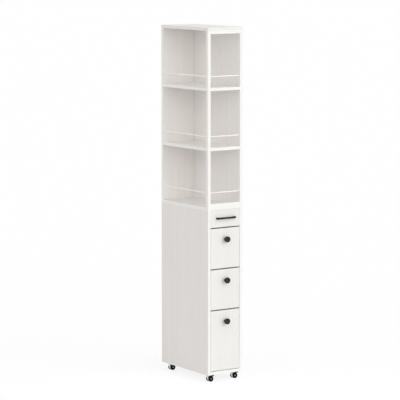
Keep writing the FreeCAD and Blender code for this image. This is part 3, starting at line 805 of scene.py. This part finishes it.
# %% [markdown]
# ## Screws of the runners
# Inside the case, each runner is held by three more screws, which show when a drawer is open. They
# are too small for the frame, so they are added here, the ones on the drawer riding on that drawer.

# %% Runner screws
RUNNER_SCREW_Y = (-150.0, 10.0, 150.0)
DRAWER_WEB_X = 74.0
CASE_WEB_X = 84.0

case_sets = []
for drawer in DRAWERS:
    level = middle(drawer + "_drawer_runners").z
    drawer_sets = []
    for side in (-1, 1):
        on_drawer = [Vector((side * DRAWER_WEB_X, y, level)) for y in RUNNER_SCREW_Y]
        on_case = [Vector((side * CASE_WEB_X, y, level)) for y in RUNNER_SCREW_Y]
        drawer_sets.append(screws(runner_screw, on_drawer, ALONG_X * side))
        case_sets.append(screws(runner_screw, on_case, -ALONG_X * side))
    name = drawer + "_runner_screws"
    finish_piece(name, joined(drawer_sets), bright_zinc, drawer + "_drawer", "runner_steel")
finish_piece("case_runner_screws", joined(case_sets), bright_zinc, "cabinet", "runner_steel")

# %% [markdown]
# ## The white room
# The photograph was taken in a white room, and a weak white world stands in for it. What the camera,
# a mirror or glass sees of that world is plain white, through Light Path, so that nothing has to be
# turned up for it.

# %% World
SKY_LEVEL = 0.333
WHITE = (1.0, 1.0, 1.0, 1.0)
LOOKS = ("Is Camera Ray", "Is Glossy Ray", "Is Transmission Ray")


def looked_at(finish):
    """1 for the kinds of ray that look at a thing, 0 for those that only light it."""
    path = [finish.add("LightPath", {}, {}, kind) for kind in LOOKS]
    return sum(path[1:], path[0]).math("MINIMUM", 1.0)


world = bpy.data.worlds.new("tent")
bpy.context.scene.world = world
sky = Finish(world)
lighting = sky.add("Background", {}, {"Color": WHITE, "Strength": SKY_LEVEL})
backdrop = sky.add("Background", {}, {"Color": WHITE, "Strength": 1.0})
sky_shader = sky.add("MixShader", {}, {0: looked_at(sky), 1: lighting, 2: backdrop})
sky.add("OutputWorld", {}, {"Surface": sky_shader})
print("sky", SKY_LEVEL)

# %% [markdown]
# ## The floor
# The floor is matt white paper. It too glows white where it is looked at, but only in part: the rest
# is its own shading, which keeps the soft shadow under the cart.

# %% Floor
FLOOR_RADIUS = 60.0
FLOOR_SIDES = 64
FLOOR_PAPER = (0.9, 0.9, 0.9, 1.0)
FLOOR_GLOW = 1.12
FLOOR_GLOW_SHARE = 0.72

paper = Finish(bpy.data.materials.new("studio_floor"))
matt = paper.add("BsdfDiffuse", {}, {"Color": FLOOR_PAPER})
glow = paper.add("Emission", {}, {"Color": WHITE, "Strength": FLOOR_GLOW})
glow_share = looked_at(paper) * FLOOR_GLOW_SHARE
paper_shader = paper.add("MixShader", {}, {0: glow_share, 1: matt, 2: glow})
paper.add("OutputMaterial", {}, {"Surface": paper_shader})

disc = bmesh.new()
bmesh.ops.create_circle(disc, cap_ends=True, segments=FLOOR_SIDES, radius=FLOOR_RADIUS)
floor = add_object("floor", as_mesh(disc, "floor"))
floor.data.materials.append(paper.owner)
print("floor", 2 * FLOOR_RADIUS, "m wide")

# %% [markdown]
# ## The lamps
# The photograph was lit by large soft boxes: the strongest stands in front, the next on the left, and
# weaker ones on the right, behind and above. A wide sun stands in for each box. Their strengths were
# balanced against the grey levels of the boards, which are the same white on every side.

# %% Lamps
# Each lamp's strength, how wide it looks in degrees, the way its light goes, and its tint.
LAMPS = {
    "front_box": (1.35, 75, (0.0, 1.0, -0.35), (0.975, 1.0, 1.0)),
    "left_box": (0.95, 75, (1.0, 0.15, -0.35), (1.0, 0.975, 0.965)),
    "right_box": (0.70, 75, (-0.6, 0.9, -0.35), (0.975, 1.0, 1.0)),
    "back_box": (0.38, 75, (-0.45, -1.0, -0.3), (1.0, 0.99, 0.98)),
    "top_box": (0.14, 35, (0.0, 0.1, -1.0), (1.0, 0.99, 0.98)),
}

for name, (strength, width, direction, tint) in LAMPS.items():
    lamp = add_object(name, bpy.data.lights.new(name, "SUN"))
    lamp.data.energy = strength
    lamp.data.angle = math.radians(width)
    lamp.data.color = tint
    point_along(lamp, Vector(direction))
bpy.context.scene.view_settings.view_transform = "Standard"
print(len(LAMPS), "lamps")
